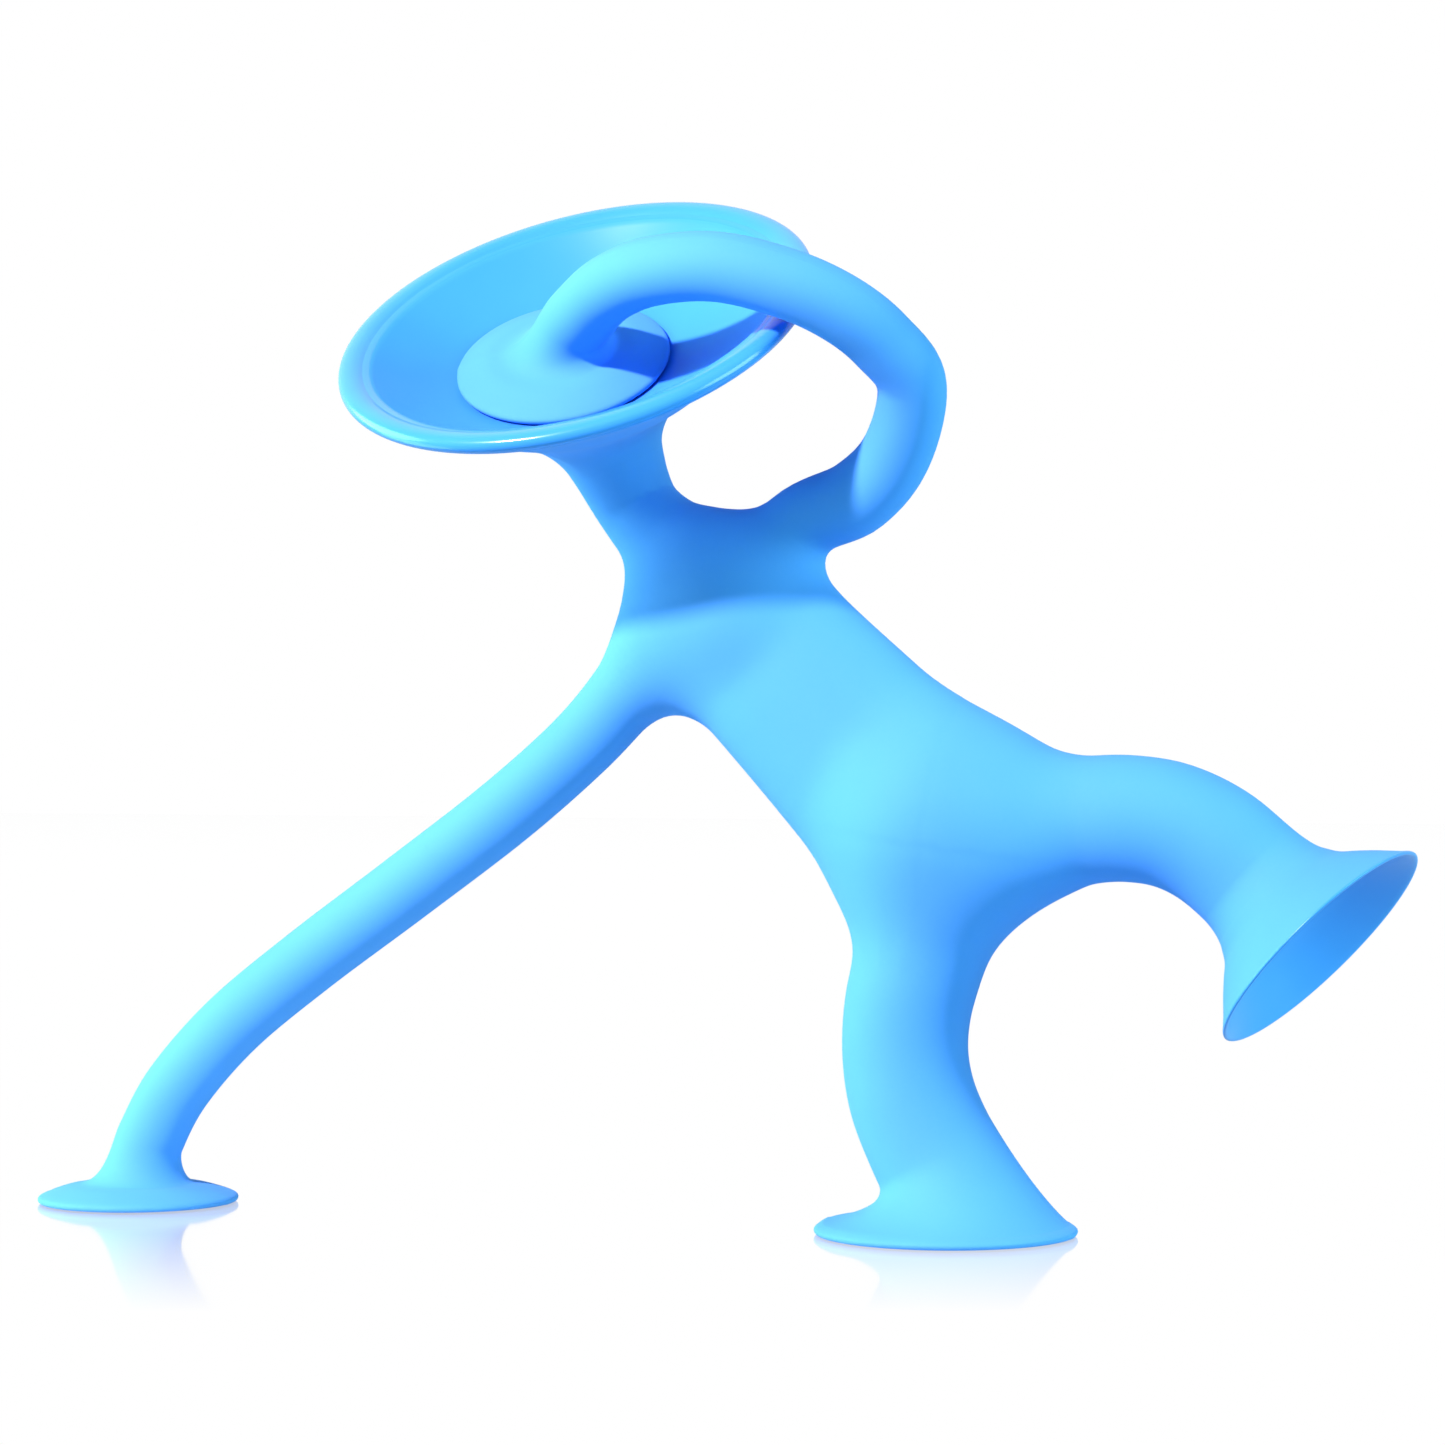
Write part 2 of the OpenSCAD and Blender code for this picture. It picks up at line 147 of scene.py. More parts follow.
ROUTES = {
    "torso": [
        torso_stop(-46, 120, 0.70, 0.72),
        torso_stop(-40, 112, 0.97, 0.90),
        torso_stop(-31, 102.6, 0.98, 0.97),
        torso_stop(-20, 91.6, 1.03, 1.00),
        torso_stop(-10, 81.6, 1.09, 1.02),
        torso_stop(-2.5, 74, 1.13, 1.00),
        torso_stop(3, 68, 0.90, 0.85),
    ],
    "neck": [
        stop((-40, 0, 112), 1.30 * NECK_R),
        stop((-47, 0, 121), 1.22 * NECK_R),
        stop((-54.6, 1, 127.6), 1.06 * NECK_R),
        stop((-60.6, 2, 134.5), 1.0 * NECK_R),
        stop(in_head(0, 0, 1 - HEAD_CUP_L), 1.30 * NECK_R),
        stop(in_head(0, 0, 6 - HEAD_CUP_L), 1.9 * NECK_R),
    ],
    "raised": [
        arm_stop(-40, 0, 116, 1.25),
        stop(RAISED_ROOT, 1.06 * ARM_R),
        bow_stop(0.33, (3.6, 2.3, -3.0), 1.06),
        bow_stop(0.66, (3.8, 2.6, -3.3), 0.98),
        loop_stop(62.4, -8, -16.9),
        loop_stop(59.2, -9.3, -6.9),
        loop_stop(53.8, -11, 1.2),
        loop_stop(45.4, -11.7, 7.6),
        loop_stop(33, -10.3, 11.7),
        loop_stop(20, -7.6, 10.9),
        loop_stop(10, -4.2, 6.7),
        stop(GRIP_CENTRE + head_turned((8.1, -3.7, 11.9)), 0.97 * ARM_R),
        stop(GRIP_CENTRE + head_turned((2.5, -0.7, 6.1)), 1.04 * ARM_R),
        stop(GRIP_CENTRE + 3 * GRIP_AXIS, 1.25 * ARM_R),
    ],
    "planted": [
        arm_stop(-42, 0, 116, 1.45),
        arm_stop(-53, 0, 108.5, 1.32),
        arm_stop(-61.5, 0, 98.5, 1.08),
        arm_stop(-71, 0, 88.5, 1.01),
        arm_stop(-86, 0, 76, 1.0),
        arm_stop(-106, 0, 61.5, 0.99),
        arm_stop(-126, 0, 47.3, 0.98),
        arm_stop(-142, 0, 34.8, 0.98),
        arm_stop(-153.5, 0, 22.5, 0.99),
        arm_stop(-159.3, 0, 12.5, 1.0),
        arm_stop(PLANTED_X + 0.6, 0, 6.8, 1.07),
        arm_stop(PLANTED_X, 0, 3.0, 1.25),
    ],
    "standing": [
        leg_stop(-1, 72, 1.34),
        leg_stop(-2.6, 61, 1.15),
        leg_stop(-4.6, 51, 1.04),
        leg_stop(-7, 41.5, 1.01),
        leg_stop(-7.6, 33, 1.0),
        leg_stop(-6.3, 24.8, 1.01),
        leg_stop(-3, 16.8, 1.02),
        leg_stop(1.4, 9, 1.06),
    ],
    "kicking": [
        leg_stop(0, 76, 1.36),
        leg_stop(10, 74.8, 1.24),
        leg_stop(18, 74.6, 1.11),
        leg_stop(25.5, 75.4, 1.01),
        leg_stop(33.5, 75.8, 0.99),
        stop((41.5, 0.7, 74.6), 0.98 * LEG_R),
        stop((49, 1.6, 71), 0.98 * LEG_R),
        stop(KICK_CENTRE + 17.5 * KICK_AXIS, 0.99 * LEG_R),
        stop(KICK_CENTRE + 12 * KICK_AXIS, 1.12 * LEG_R),
    ],
}
ROUTES = {name: np.array(stops, float) for name, stops in ROUTES.items()}
CUTS = {
    "torso": [2.3, 3.7],
    "neck": [1.9, 3.6],
    "raised": [1.6, 3.1, 4.4, 6.6, 8.3, 11.3],
    "planted": [1.9, 3.2, 4.6, 5.7, 6.7, 9.0],
    "standing": [1.3, 2.5, 3.1, 4.4, 4.9, 6.3],
    "kicking": [1.6, 3.0, 3.7, 5.2, 5.8, 6.8],
}


def along(route, t):
    """The stops at distances t along a route, by a Catmull-Rom curve."""
    s = np.vstack([2 * route[0] - route[1], route, 2 * route[-1] - route[-2]])
    t = np.atleast_1d(np.asarray(t, float))
    i = np.clip(np.floor(t).astype(int), 0, len(route) - 2)
    u = (t - i)[:, None]
    a, b, c, d = s[i], s[i + 1], s[i + 2], s[i + 3]
    return (
        2 * b + (c - a) * u + (2 * a - 5 * b + 4 * c - d) * u**2 + (3 * b - a - 3 * c + d) * u**3
    ) / 2


def heading(route, t):
    step = 0.001
    last = len(route) - 1
    ahead = along(route, np.minimum(np.asarray(t) + step, last))
    behind = along(route, np.maximum(np.asarray(t) - step, 0))
    return unit((ahead - behind)[:, :3])


def rings(route, t, turns):
    """Sections across a route at t, as an array of rows, columns and xyz."""
    at = along(route, t)
    way = heading(route, t)
    depth = unit(np.array([0, 1.0, 0]) - way[:, 1:2] * way)
    width = np.cross(way, depth)
    cos = np.cos(turns)[None, :, None]
    sin = np.sin(turns)[None, :, None]
    return (
        at[:, None, :3]
        + width[:, None] * at[:, None, 3:4] * cos
        + depth[:, None] * at[:, None, 4:5] * sin
    )


# ---- The distance field of the torso and the roots of the limbs ----
FIELD_STEP = 0.12
FIELD_REACH = 26
SLOPE_REACH = 40
SLOPE_CELL = 12
ROOT_MARGIN = 1.7
LIMBS = ("neck", "raised", "planted", "standing", "kicking")
MELT = {"neck": 8, "raised": 6, "planted": 11, "standing": 11, "kicking": 12}
ROOT_END = {"neck": 4.2, "raised": 5.0, "planted": 5.2, "standing": 3.8, "kicking": 4.4}


def chain(route, end):
    at = along(route, np.arange(0, end + FIELD_STEP / 2, FIELD_STEP))
    return at[:-1], at[1:]


CHAINS = {name: chain(ROUTES[name], ROOT_END[name]) for name in LIMBS}
CHAINS["torso"] = chain(ROUTES["torso"], len(ROUTES["torso"]) - 1)


def tube_field(points, a, b):
    """Distance from points to the skin of a chain of round segments."""
    best = np.full(len(points), 1e9)
    for start, end in zip(a, b):
        span = end[:3] - start[:3]
        rel = points - start[:3]
        t = np.clip(rel @ span / (span @ span), 0, 1)
        off = rel - t[:, None] * span
        radius = start[3] + t * (end[3] - start[3])
        best = np.minimum(best, np.sqrt(np.einsum("ij,ij->i", off, off)) - radius)
    return best


def torso_field(points, a, b):
    """Nearly the distance from points to a chain of flattened segments, wide in XZ and deep in Y."""
    best = np.full(len(points), 1e9)
    for start, end in zip(a, b):
        span = end[:3] - start[:3]
        rel = points - start[:3]
        t = np.clip(rel @ span / (span @ span), 0, 1)
        off = rel - t[:, None] * span
        way = span / np.linalg.norm(span)
        side = np.cross(way, [0, 1.0, 0])
        half_w = start[3] + t * (end[3] - start[3])
        half_t = start[4] + t * (end[4] - start[4])
        u, v, w = off @ side, off[:, 1], off @ way
        one = np.sqrt((u / half_w) ** 2 + (v / half_t) ** 2 + (w / half_t) ** 2)
        two = np.sqrt((u / half_w**2) ** 2 + (v / half_t**2) ** 2 + (w / half_t**2) ** 2)
        best = np.minimum(best, one * (one - 1) / np.maximum(two, 1e-6))
    return best


def melt(a, b, size):
    h = np.maximum(size - np.abs(a - b), 0) / size
    return np.minimum(a, b) - h * h * size / 4


def field(points, reach=None):
    """The field at points; with reach, only the segments within reach of their middle count."""
    middle = points.mean(0)

    def near(name):
        a, b = CHAINS[name]
        if reach is None:
            return a, b
        close = np.linalg.norm(a[:, :3] - middle, axis=1) < reach + a[:, 3]
        return a[close], b[close]

    value = torso_field(points, *near("torso"))
    for name in LIMBS:
        a, b = near(name)
        if len(a):
            value = melt(value, tube_field(points, a, b), MELT[name])
    return value


def sampled_field(pitch, block=8):
    """The field on a grid over the trunk: exact close to the skin, rough away from it."""
    everything = np.vstack([a for a, b in CHAINS.values()])
    low = (everything[:, :3] - everything[:, 3:4]).min(0) - 3
    high = (everything[:, :3] + everything[:, 3:4]).max(0) + 3
    blocks = np.ceil((high - low) / (pitch * block)).astype(int)
    grid = np.empty(blocks * block, np.float32)
    half = pitch * block / 2
    clear = 2.2 * half + pitch
    middles = low + (np.stack(np.indices(blocks), -1) + 0.5) * 2 * half
    rough = field(middles.reshape(-1, 3)).reshape(blocks)
    inside = np.stack(np.indices((block, block, block)), -1).reshape(-1, 3) * pitch
    for i, j, k in np.ndindex(*blocks):
        cut = np.s_[i * block:(i + 1) * block, j * block:(j + 1) * block, k * block:(k + 1) * block]
        if abs(rough[i, j, k]) > clear:
            grid[cut] = rough[i, j, k]
            continue
        corner = low + np.array([i, j, k]) * block * pitch
        value = field(corner + inside, reach=2 * half + FIELD_REACH)
        grid[cut] = value.reshape(block, block, block)
    return grid, low


CORNERS = np.array([[i, j, k] for i in (0, 1) for j in (0, 1) for k in (0, 1)])
EDGES = [
    (a, b) for a in range(8) for b in range(a + 1, 8)
    if np.abs(CORNERS[a] - CORNERS[b]).sum() == 1
]


def surface_net(grid, low, pitch):
    """Vertices and triangles of the zero level of a grid, one vertex in each cell that it crosses."""
    n = np.array(grid.shape) - 1
    inside = grid < 0
    count = np.zeros(n, np.int8)
    for c in CORNERS:
        count += inside[c[0]:c[0] + n[0], c[1]:c[1] + n[1], c[2]:c[2] + n[2]]
    cells = np.argwhere((count > 0) & (count < 8))
    values = np.stack([grid[tuple((cells + c).T)] for c in CORNERS], 1).astype(float)
    total = np.zeros((len(cells), 3))
    hits = np.zeros(len(cells))
    for a, b in EDGES:
        crossing = (values[:, a] < 0) != (values[:, b] < 0)
        gap = np.where(crossing, values[:, a] - values[:, b], 1)
        t = (values[:, a] / gap)[:, None]
        place = CORNERS[a] + t * (CORNERS[b] - CORNERS[a])
        total[crossing] += place[crossing]
        hits += crossing
    points = low + (cells + total / hits[:, None]) * pitch
    index = np.full(n, -1, np.int64)
    index[tuple(cells.T)] = np.arange(len(cells))
    faces = []
    for axis in range(3):
        u, v = [(1, 2), (2, 0), (0, 1)][axis]
        first = np.take(inside, range(0, inside.shape[axis] - 1), axis)
        second = np.take(inside, range(1, inside.shape[axis]), axis)
        at = np.argwhere(first != second)
        at = at[(at[:, u] > 0) & (at[:, v] > 0) & (at[:, u] < n[u]) & (at[:, v] < n[v])]
        du = np.eye(3, dtype=int)[u]
        dv = np.eye(3, dtype=int)[v]
        turns = ((0, 0), (1, 0), (1, 1), (0, 1))
        quad = np.stack([index[tuple((at - s * du - r * dv).T)] for s, r in turns], 1)
        out = first[tuple(at.T)]
        quad[~out] = quad[~out][:, ::-1]
        faces.append(quad)
    quads = np.vstack(faces)
    return points, np.vstack([quads[:, [0, 1, 2]], quads[:, [0, 2, 3]]])


def gradient(points, step=0.05):
    """The field and its slope at points, by small blocks so that only close segments count."""
    value = np.empty(len(points))
    slope = np.empty((len(points), 3))
    cell = np.floor(points / SLOPE_CELL).astype(int)
    _, label = np.unique(cell, axis=0, return_inverse=True)
    label = label.ravel()
    order = np.argsort(label, kind="stable")
    for group in np.split(order, np.flatnonzero(np.diff(label[order])) + 1):
        here = points[group]
        value[group] = field(here, SLOPE_REACH)
        for axis in range(3):
            shift = np.eye(3)[axis] * step
            rise = field(here + shift, SLOPE_REACH) - field(here - shift, SLOPE_REACH)
            slope[group, axis] = rise / (2 * step)
    return value, slope


def settled(points, rounds=2):
    """Points moved onto the zero level, and the outward normals there."""
    for _ in range(rounds):
        value, slope = gradient(points)
        points = points - value[:, None] * slope / np.maximum((slope**2).sum(1), 0.2)[:, None]
    return points, unit(gradient(points)[1])


# ---- Cutting the trunk's skin into the CAD part's regions ----
def split(points, normals, faces, labels, chosen, distance):
    """Faces whose label is in chosen are cut where distance, given per point, changes sign.
    Returns the grown points, normals, faces and labels."""
    side = distance > 0
    tri_side = side[faces]
    touched = chosen & (tri_side.any(1) != tri_side.all(1))
    kept = faces[~touched]
    kept_labels = labels[~touched]
    cut_points = {}
    new_points, new_normals, new_faces, new_labels = [], [], [], []

    def crossing(a, b):
        key = (min(a, b), max(a, b))
        if key not in cut_points:
            a, b = key
            t = distance[a] / (distance[a] - distance[b])
            cut_points[key] = len(points) + len(new_points)
            new_points.append(points[a] + t * (points[b] - points[a]))
            new_normals.append(normals[a] + t * (normals[b] - normals[a]))
        return cut_points[key]

    for face, label in zip(faces[touched], labels[touched]):
        for lone in range(3):
            a, b, c = face[lone], face[(lone + 1) % 3], face[(lone + 2) % 3]
            if side[b] == side[c] != side[a]:
                ab, ca = crossing(a, b), crossing(c, a)
                new_faces += [[a, ab, ca], [ab, b, c], [ab, c, ca]]
                new_labels += [label] * 3
    points = np.vstack([points, np.array(new_points).reshape(-1, 3)])
    normals = np.vstack([normals, np.array(new_normals).reshape(-1, 3)])
    faces = np.vstack([kept, np.array(new_faces, int).reshape(-1, 3)])
    labels = np.concatenate([kept_labels, np.array(new_labels, int)])
    return points, normals, faces, labels


def cut_plane(route_name, t):
    route = ROUTES[route_name]
    return along(route, t)[0, :3], heading(route, t)[0]


def trunk_regions(points, normals, faces):
    """The trunk's skin as {CAD node: (points, normals, faces)}, each cut clean at its planes."""
    names = ["chest", "waist", "pelvis", "neck"]
    labels = np.zeros(len(faces), int)

    def relabel(route_name, t, was, now, middle, reach):
        nonlocal points, normals, faces, labels
        if now not in names:
            names.append(now)
        at, way = cut_plane(route_name, t)
        near = np.linalg.norm(points[faces].mean(1) - middle, axis=1) < reach
        chosen = near & (labels == names.index(was))
        distance = (points - at) @ way
        points, normals, faces, labels = split(points, normals, faces, labels, chosen, distance)
        centre = points[faces].mean(1)
        beyond = (centre - at) @ way > 0
        near = np.linalg.norm(centre - middle, axis=1) < reach
        labels[near & beyond & (labels == names.index(was))] = names.index(now)

    trunk_middle = along(ROUTES["torso"], 3)[0, :3]
    for route_name in LIMBS:
        cuts = CUTS[route_name]
        stops = along(ROUTES[route_name], np.linspace(cuts[0], ROOT_END[route_name], 9))
        middle = (stops[0, :3] + stops[-1, :3]) / 2
        reach = np.linalg.norm(stops[:, :3] - middle, axis=1).max() + ROOT_MARGIN * stops[:, 3].max()
        if route_name == "neck":
            chain_names = ["neck", "spare"]
        elif route_name in ("raised", "planted"):
            chain_names = [route_name + "_shoulder", route_name + "_upper_arm", "spare"]
        else:
            chain_names = [route_name + "_hip", route_name + "_thigh", "spare"]
        was = "chest"
        for t, now in zip(cuts, chain_names):
            relabel(route_name, t, was, now, middle, reach)
            was = now
    everywhere = 1e6
    relabel("torso", CUTS["torso"][0], "chest", "waist", trunk_middle, everywhere)
    relabel("torso", CUTS["torso"][1], "waist", "pelvis", trunk_middle, everywhere)
    regions = {}
    for i, name in enumerate(names):
        if name == "spare":
            continue
        used, packed = np.unique(faces[labels == i], return_inverse=True)
        regions[name] = points[used], unit(normals[used]), packed.reshape(-1, 3)
    return regions


# ---- Meshes and pieces ----
def finish_piece(name, points, normals, faces, material):
    """A mesh object from points in millimetres, with its own normals so that seams don't show."""
    mesh = bpy.data.meshes.new(name)
    mesh.from_pydata((np.asarray(points) * MM).tolist(), [], [list(map(int, f)) for f in faces])
    mesh.validate()
    mesh.polygons.foreach_set("use_smooth", [True] * len(mesh.polygons))
    if len(mesh.vertices) == len(normals):
        mesh.normals_split_custom_set_from_vertices(np.asarray(normals).tolist())
    mesh.materials.append(material)
    piece = bpy.data.objects.new(name, mesh)
    bpy.context.scene.collection.objects.link(piece)
    return piece


def grid_normals(rows):
    """Outward normals of a closed tube of rows, by the slopes along and across it."""
    across = np.roll(rows, -1, 1) - np.roll(rows, 1, 1)
    ahead = np.gradient(rows, axis=0)
    normal = np.cross(across, ahead)
    size = np.linalg.norm(normal, axis=2, keepdims=True)
    normal = normal / np.maximum(size, 1e-12)
    outward = ((rows[1] - rows[1].mean(0)) * normal[1]).sum()
    return normal if outward > 0 else -normal, outward > 0


def grid_faces(row_count, column_count, keep_order):
    faces = []
    for r in range(row_count - 1):
        for c in range(column_count):
            d = (c + 1) % column_count
            this, after = r * column_count, (r + 1) * column_count
            quad = [this + c, this + d, after + d, after + c]
            faces.append(quad if keep_order else quad[::-1])
    return faces


def grid_piece(name, rows, normals, keep_order, material, closed=False):
    """A piece from some rows of a limb's grid; closed fills the last row with a point."""
    count, columns = rows.shape[:2]
    faces = grid_faces(count, columns, keep_order)
    points = rows.reshape(-1, 3)
    normals = normals.reshape(-1, 3)
    if closed:
        tip = len(points)
        points = np.vstack([points, rows[-1].mean(0)])
        normals = np.vstack([normals, unit(normals[-columns:].mean(0))])
        last = (count - 1) * columns
        for c in range(columns):
            tri = [last + c, last + (c + 1) % columns, tip]
            faces.append(tri if keep_order else tri[::-1])
    return finish_piece(name, points, normals, faces, material)


PER_STRETCH = 4


def eased(stops):
    """A smooth curve of (radius, height) through a profile's stops."""
    stops = np.array(stops, float)
    t = np.linspace(0, len(stops) - 1, (len(stops) - 1) * PER_STRETCH + 1)
    return along(stops, t)


def lathe_rows(profile, centre, axis, across, turns):
    """Rows of points for a profile of (radius, height) turned about an axis."""
    other = np.cross(axis, across)
    spoke = np.cos(turns)[:, None] * across + np.sin(turns)[:, None] * other
    return np.array([centre + r * spoke + s * axis for r, s in profile])


def flare_rows(ring, way, lathe_ring, leave, pull, count=18):
    """Rows from a limb's end ring, left by way, to a cup's first ring, reached by leave."""
    gap = np.linalg.norm(lathe_ring - ring, axis=1)[:, None]
    rows = []
    for u in np.linspace(0, 1, count + 1)[1:-1]:
        h00, h10 = 2 * u**3 - 3 * u**2 + 1, u**3 - 2 * u**2 + u
        h01, h11 = -2 * u**3 + 3 * u**2, u**3 - u**2
        along_way = h00 * ring + h10 * gap * pull[0] * way
        rows.append(along_way + h01 * lathe_ring + h11 * gap * pull[1] * leave)
    return np.array(rows)


def matched_turns(ring, axis, across):
    """The turn about a cup's axis that each point of a limb's end ring runs on to."""
    other = np.cross(axis, across)
    rel = ring - ring.mean(0)
    return np.unwrap(np.arctan2(rel @ other, rel @ across))


def on_skin(ring, way):
    """A ring moved in its own plane onto the trunk's skin, and the way along the skin at each point."""
    spoke = unit(ring - ring.mean(0))
    for _ in range(3):
        value, slope = gradient(ring)
        ring = ring - (value / (slope * spoke).sum(1))[:, None] * spoke
    normal = unit(gradient(ring)[1])
    return ring, unit(way - (normal @ way)[:, None] * normal)


# ---- Materials ----
BLUES = (0.049, 0.265, 0.850, 1), (0.057, 0.285, 0.890, 1)


def add_node(tree, kind, values=(), **settings):
    """A shader node of a kind, with its settings and the values of its inputs."""
    node = tree.nodes.new("ShaderNode" + kind)
    for key, value in settings.items():
        setattr(node, key, value)
    for key, value in dict(values).items():
        node.inputs[key].default_value = value
    return node


def empty_material(name):
    material = bpy.data.materials.new(name)
    material.use_nodes = True
    material.node_tree.nodes.clear()
    return material


def silicone(name, rough, rough_swing, bump_depth, shine):
    """Blue silicone, whose colour swings a little over the figure, with a fine grain on its skin."""
    material = empty_material(name)
    tree = material.node_tree
    out = add_node(tree, "OutputMaterial")
    skin = add_node(tree, "BsdfPrincipled", {"IOR": 1.55, "Specular IOR Level": shine})
    place = add_node(tree, "TexCoord")
    broad = add_node(tree, "TexNoise", {"Scale": 35, "Detail": 3})
    fine = add_node(tree, "TexNoise", {"Scale": 1400, "Detail": 4})
    tint = add_node(tree, "ValToRGB")
    for element, position, blue in zip(tint.color_ramp.elements, (0.3, 0.7), BLUES):
        element.position = position
        element.color = blue
    rougher = add_node(tree, "MapRange", {"To Min": rough - rough_swing, "To Max": rough + rough_swing})
    bump = add_node(tree, "Bump", {"Strength": 0.35, "Distance": bump_depth * MM})
    link = tree.links.new
    link(place.outputs["Object"], broad.inputs["Vector"])
    link(place.outputs["Object"], fine.inputs["Vector"])
    link(broad.outputs["Fac"], tint.inputs["Fac"])
    link(tint.outputs["Color"], skin.inputs["Base Color"])
    link(fine.outputs["Fac"], rougher.inputs["Value"])
    link(rougher.outputs["Result"], skin.inputs["Roughness"])
    link(fine.outputs["Fac"], bump.inputs["Height"])
    link(bump.outputs["Normal"], skin.inputs["Normal"])
    link(skin.outputs["BSDF"], out.inputs["Surface"])
    return material


matte = silicone("silicone_matte", 0.88, 0.04, 0.02, 1.0)
gloss = silicone("silicone_gloss", 0.2, 0.03, 0.006, 0.45)
satin = silicone("silicone_satin", 0.36, 0.03, 0.006, 0.4)
bowl_sheen = silicone("silicone_bowl", 0.42, 0.03, 0.006, 0.12)

# ---- The trunk ----
PITCH = 1.0
grid, grid_low = sampled_field(PITCH)
skin_points, skin_faces = surface_net(grid, grid_low, PITCH)
skin_points, skin_normals = settled(skin_points)
BODIES = {
    "neck": ("chest", "head"),
    "waist": ("chest", "pelvis"),
}
for arm in ("raised", "planted"):
    BODIES[arm + "_shoulder"] = ("chest", arm + "_upper_arm")
    BODIES[arm + "_elbow"] = (arm + "_upper_arm", arm + "_forearm")
    BODIES[arm + "_wrist"] = (arm + "_forearm", arm + "_hand")
for leg in ("standing", "kicking"):
    BODIES[leg + "_hip"] = ("pelvis", leg + "_thigh")
    BODIES[leg + "_knee"] = (leg + "_thigh", leg + "_shin")
    BODIES[leg + "_ankle"] = (leg + "_shin", leg + "_foot")
PARTS = {
    "raised": ["shoulder", "upper_arm", "elbow", "forearm", "wrist", "hand_cup"],
    "planted": ["shoulder", "upper_arm", "elbow", "forearm", "wrist", "hand_cup"],
    "standing": ["hip", "thigh", "knee", "shin", "ankle", "foot_cup"],
    "kicking": ["hip", "thigh", "knee", "shin", "ankle", "foot_cup"],
}


def attach(piece, node):
    """The piece stands for its CAD node, whose part is hidden; it goes with its node's body, or is
    baked in place where the node is a joint.
    """
    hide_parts(node)
    if node not in BODIES:
        limb = node.split("_")[0]
        cup_body = {"hand_cup": limb + "_hand", "foot_cup": limb + "_foot", "head_cup": "head"}
        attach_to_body(piece, cup_body.get(node.partition("_")[2], cup_body.get(node, node)))
        return
    if node == "neck":
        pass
    elif node == "waist":
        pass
    else:
        limb, _, part = node.partition("_")
    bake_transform(piece)


for node, (points, normals, faces) in trunk_regions(skin_points, skin_normals, skin_faces).items():
    attach(finish_piece(node + "_skin", points, normals, faces, matte), node)

# ---- Limbs beyond the trunk's skin, each one grid of rows from its second cut to its cup ----
TUBE_STEP = 1.5
LEAD_IN = 0.02
COLUMNS = 96
SEAM_HEIGHT = 0.12
SEAM_STARTS = 2, 8
SEAM_ENDS = -8, -4
IN_PLANE_SEAMS = (0, COLUMNS // 2)
UP = np.array([0, 0, 1.0])
SIDEWAYS = np.array([1.0, 0, 0])


def tube_rows(limb, turns):
    """The tube's rows and, for each cut from the second on, the row that lies on it."""
    cuts = CUTS[limb]
    route = ROUTES[limb]
    t = [cuts[2] - LEAD_IN]
    marks = []
    for a, b in zip(cuts[2:-1], cuts[3:]):
        marks.append(len(t))
        ends = along(route, [a, b])[:, :3]
        steps = max(3, math.ceil(np.linalg.norm(ends[1] - ends[0]) / TUBE_STEP))
        t += list(np.linspace(a, b, steps + 1)[:-1])
    marks.append(len(t))
    t.append(cuts[-1])
    return rings(route, np.array(t), turns), marks


def build_limb(limb, centre, axis, across, profile, inner_from, flare, seams):
    """Tube, flare and cup of a limb. The profile's rows from inner_from on are the cup's hollow.
    flare gives the ways that the flare arrives, and its pull. seams are the parting line's columns."""
    turns = np.linspace(0, 2 * math.pi, COLUMNS, endpoint=False)
    tube, marks = tube_rows(limb, turns)
    ring = tube[-1]
    cup_turns = matched_turns(ring, axis, across)
    cup = lathe_rows(profile, centre, axis, across, cup_turns)
    way = unit(tube[-1] - tube[-2])
    leave, pull = flare(cup[0])
    rows = np.vstack([tube, flare_rows(ring, way, cup[0], leave, pull), cup])
    normals, _ = grid_normals(rows)
    inner = len(rows) - len(cup) + inner_from
    ridge_stops = [*SEAM_STARTS, inner + SEAM_ENDS[0], inner + SEAM_ENDS[1]]
    ridge = SEAM_HEIGHT * np.interp(np.arange(len(rows)), ridge_stops, [0, 1, 1, 0])
    for column in seams:
        rows[:, column] += ridge[:, None] * normals[:, column]
    normals, keep_order = grid_normals(rows)
    names = [limb + "_" + part for part in PARTS[limb]][2:]
    for name, a, b in zip(names, marks, marks[1:]):
        piece = grid_piece(name + "_skin", rows[a:b + 1], normals[a:b + 1], keep_order, matte)
        attach(piece, name)
    cup_name = names[-1]
    outer = slice(marks[-1], inner + 1)
    attach(grid_piece(cup_name + "_skin", rows[outer], normals[outer], keep_order, matte), cup_name)
    rest = slice(inner, None)
    hollow = grid_piece(cup_name + "_hollow", rows[rest], normals[rest], keep_order, satin, True)
    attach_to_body(hollow, cup_name.removesuffix("_cup"))


def spokes(ring, centre, axis):
    rel = ring - centre
    return unit(rel - (rel @ axis)[:, None] * axis)


HAND_PROFILE = eased([
    (11.2, 3.55), (13.7, 3.1), (16.6, 2.25), (18.6, 1.5), (19.2, 1.05), (19.3, 0.6), (19.1, 0.2),
    (18.7, 0.0), (17.6, 0.0), (16.9, 0.15), (14.5, 0.85), (10, 1.6), (5, 2.1), (0.3, 2.2),
])
HAND_INNER = 8 * PER_STRETCH


def hand_flare(axis, centre):
    def arrive(ring):
        out = spokes(ring, centre, axis)
        return unit(out - 0.16 * axis), (0.75, 1.1)
    return arrive


PLANTED_CENTRE = np.array([PLANTED_X, 0, 0.0])
build_limb("planted", PLANTED_CENTRE, UP, SIDEWAYS, HAND_PROFILE, HAND_INNER,
           hand_flare(UP, PLANTED_CENTRE), IN_PLANE_SEAMS)
grip_across = unit(HEAD_X - (HEAD_X @ GRIP_AXIS) * GRIP_AXIS)
